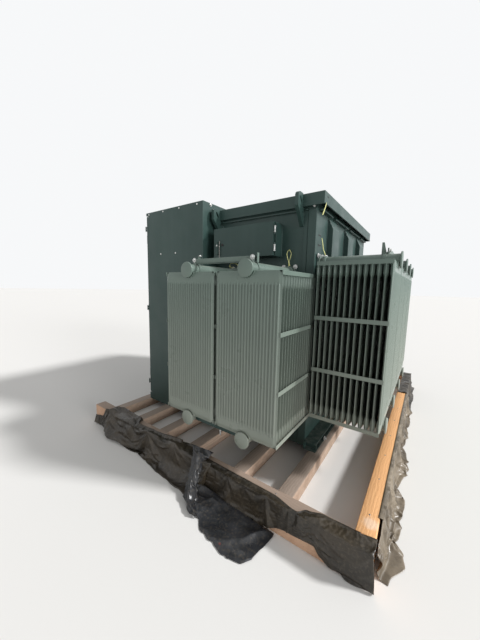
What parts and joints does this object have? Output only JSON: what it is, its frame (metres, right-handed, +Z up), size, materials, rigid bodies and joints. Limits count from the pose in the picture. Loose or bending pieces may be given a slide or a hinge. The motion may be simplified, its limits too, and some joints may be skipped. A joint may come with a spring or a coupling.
{
  "type": "power transformer",
  "caption": "Oil-filled power transformer with a terminal compartment, panel radiators on three sides and a timber skid.",
  "frame": {"origin": "on the ground under the middle cross timber, on the transformer's centre line", "axes": "+Z up, -Y towards the terminal compartment's doors, +Y towards the rear radiators, +X towards the side with the instrument box"},
  "size_m": [3.7609, 2.8369, 2.2803],
  "materials": {
    "dark_green_paint": "satin",
    "radiator_paint": "satin",
    "timber": "rough sawn",
    "plastic_wrap": "glossy thin sheet"
  },
  "bodies": {
    "transformer": {"base_channel": "dark_green_paint", "compartment_door_left": "dark_green_paint", "compartment_door_right": "dark_green_paint", "cross_timber_1": "timber", "cross_timber_2": "timber", "cross_timber_3": "timber", "cross_timber_4": "timber", "cross_timber_5": "timber", "cross_timber_6": "timber", "curb_timber_left": "timber", "curb_timber_rear": "timber", "curb_timber_right": "timber", "instrument_box": "dark_green_paint", "lifting_lug_left_front": "dark_green_paint", "lifting_lug_left_rear": "dark_green_paint", "lifting_lug_right_front": "dark_green_paint", "lifting_lug_right_rear": "dark_green_paint", "plastic_drape_rear": "plastic_wrap", "plastic_flap_right": "plastic_wrap", "plastic_wrap_left": "plastic_wrap", "plastic_wrap_rear": "plastic_wrap", "plastic_wrap_right": "plastic_wrap", "radiator_left_1": "radiator_paint", "radiator_left_2": "radiator_paint", "radiator_rail_left": "radiator_paint", "radiator_rail_right": "radiator_paint", "radiator_rear_1": "radiator_paint", "radiator_rear_2": "radiator_paint", "radiator_rear_3": "radiator_paint", "radiator_rear_4": "radiator_paint", "radiator_right_1": "radiator_paint", "radiator_right_2": "radiator_paint", "radiator_tie_left": "radiator_paint", "radiator_tie_rear": "radiator_paint", "radiator_tie_right": "radiator_paint", "tank": "dark_green_paint", "tank_lid": "dark_green_paint", "terminal_compartment": "dark_green_paint"},
    "instrument_door": {"instrument_box_door": "dark_green_paint"}
  },
  "joints": [
    {"name": "instrument_door_hinge", "type": "hinge", "parent": "transformer", "child": "instrument_door", "pos_m": [1.0643, 0.478, 1.742], "axis": [0, 0, 1], "range_deg": [0, 110]}
  ]
}
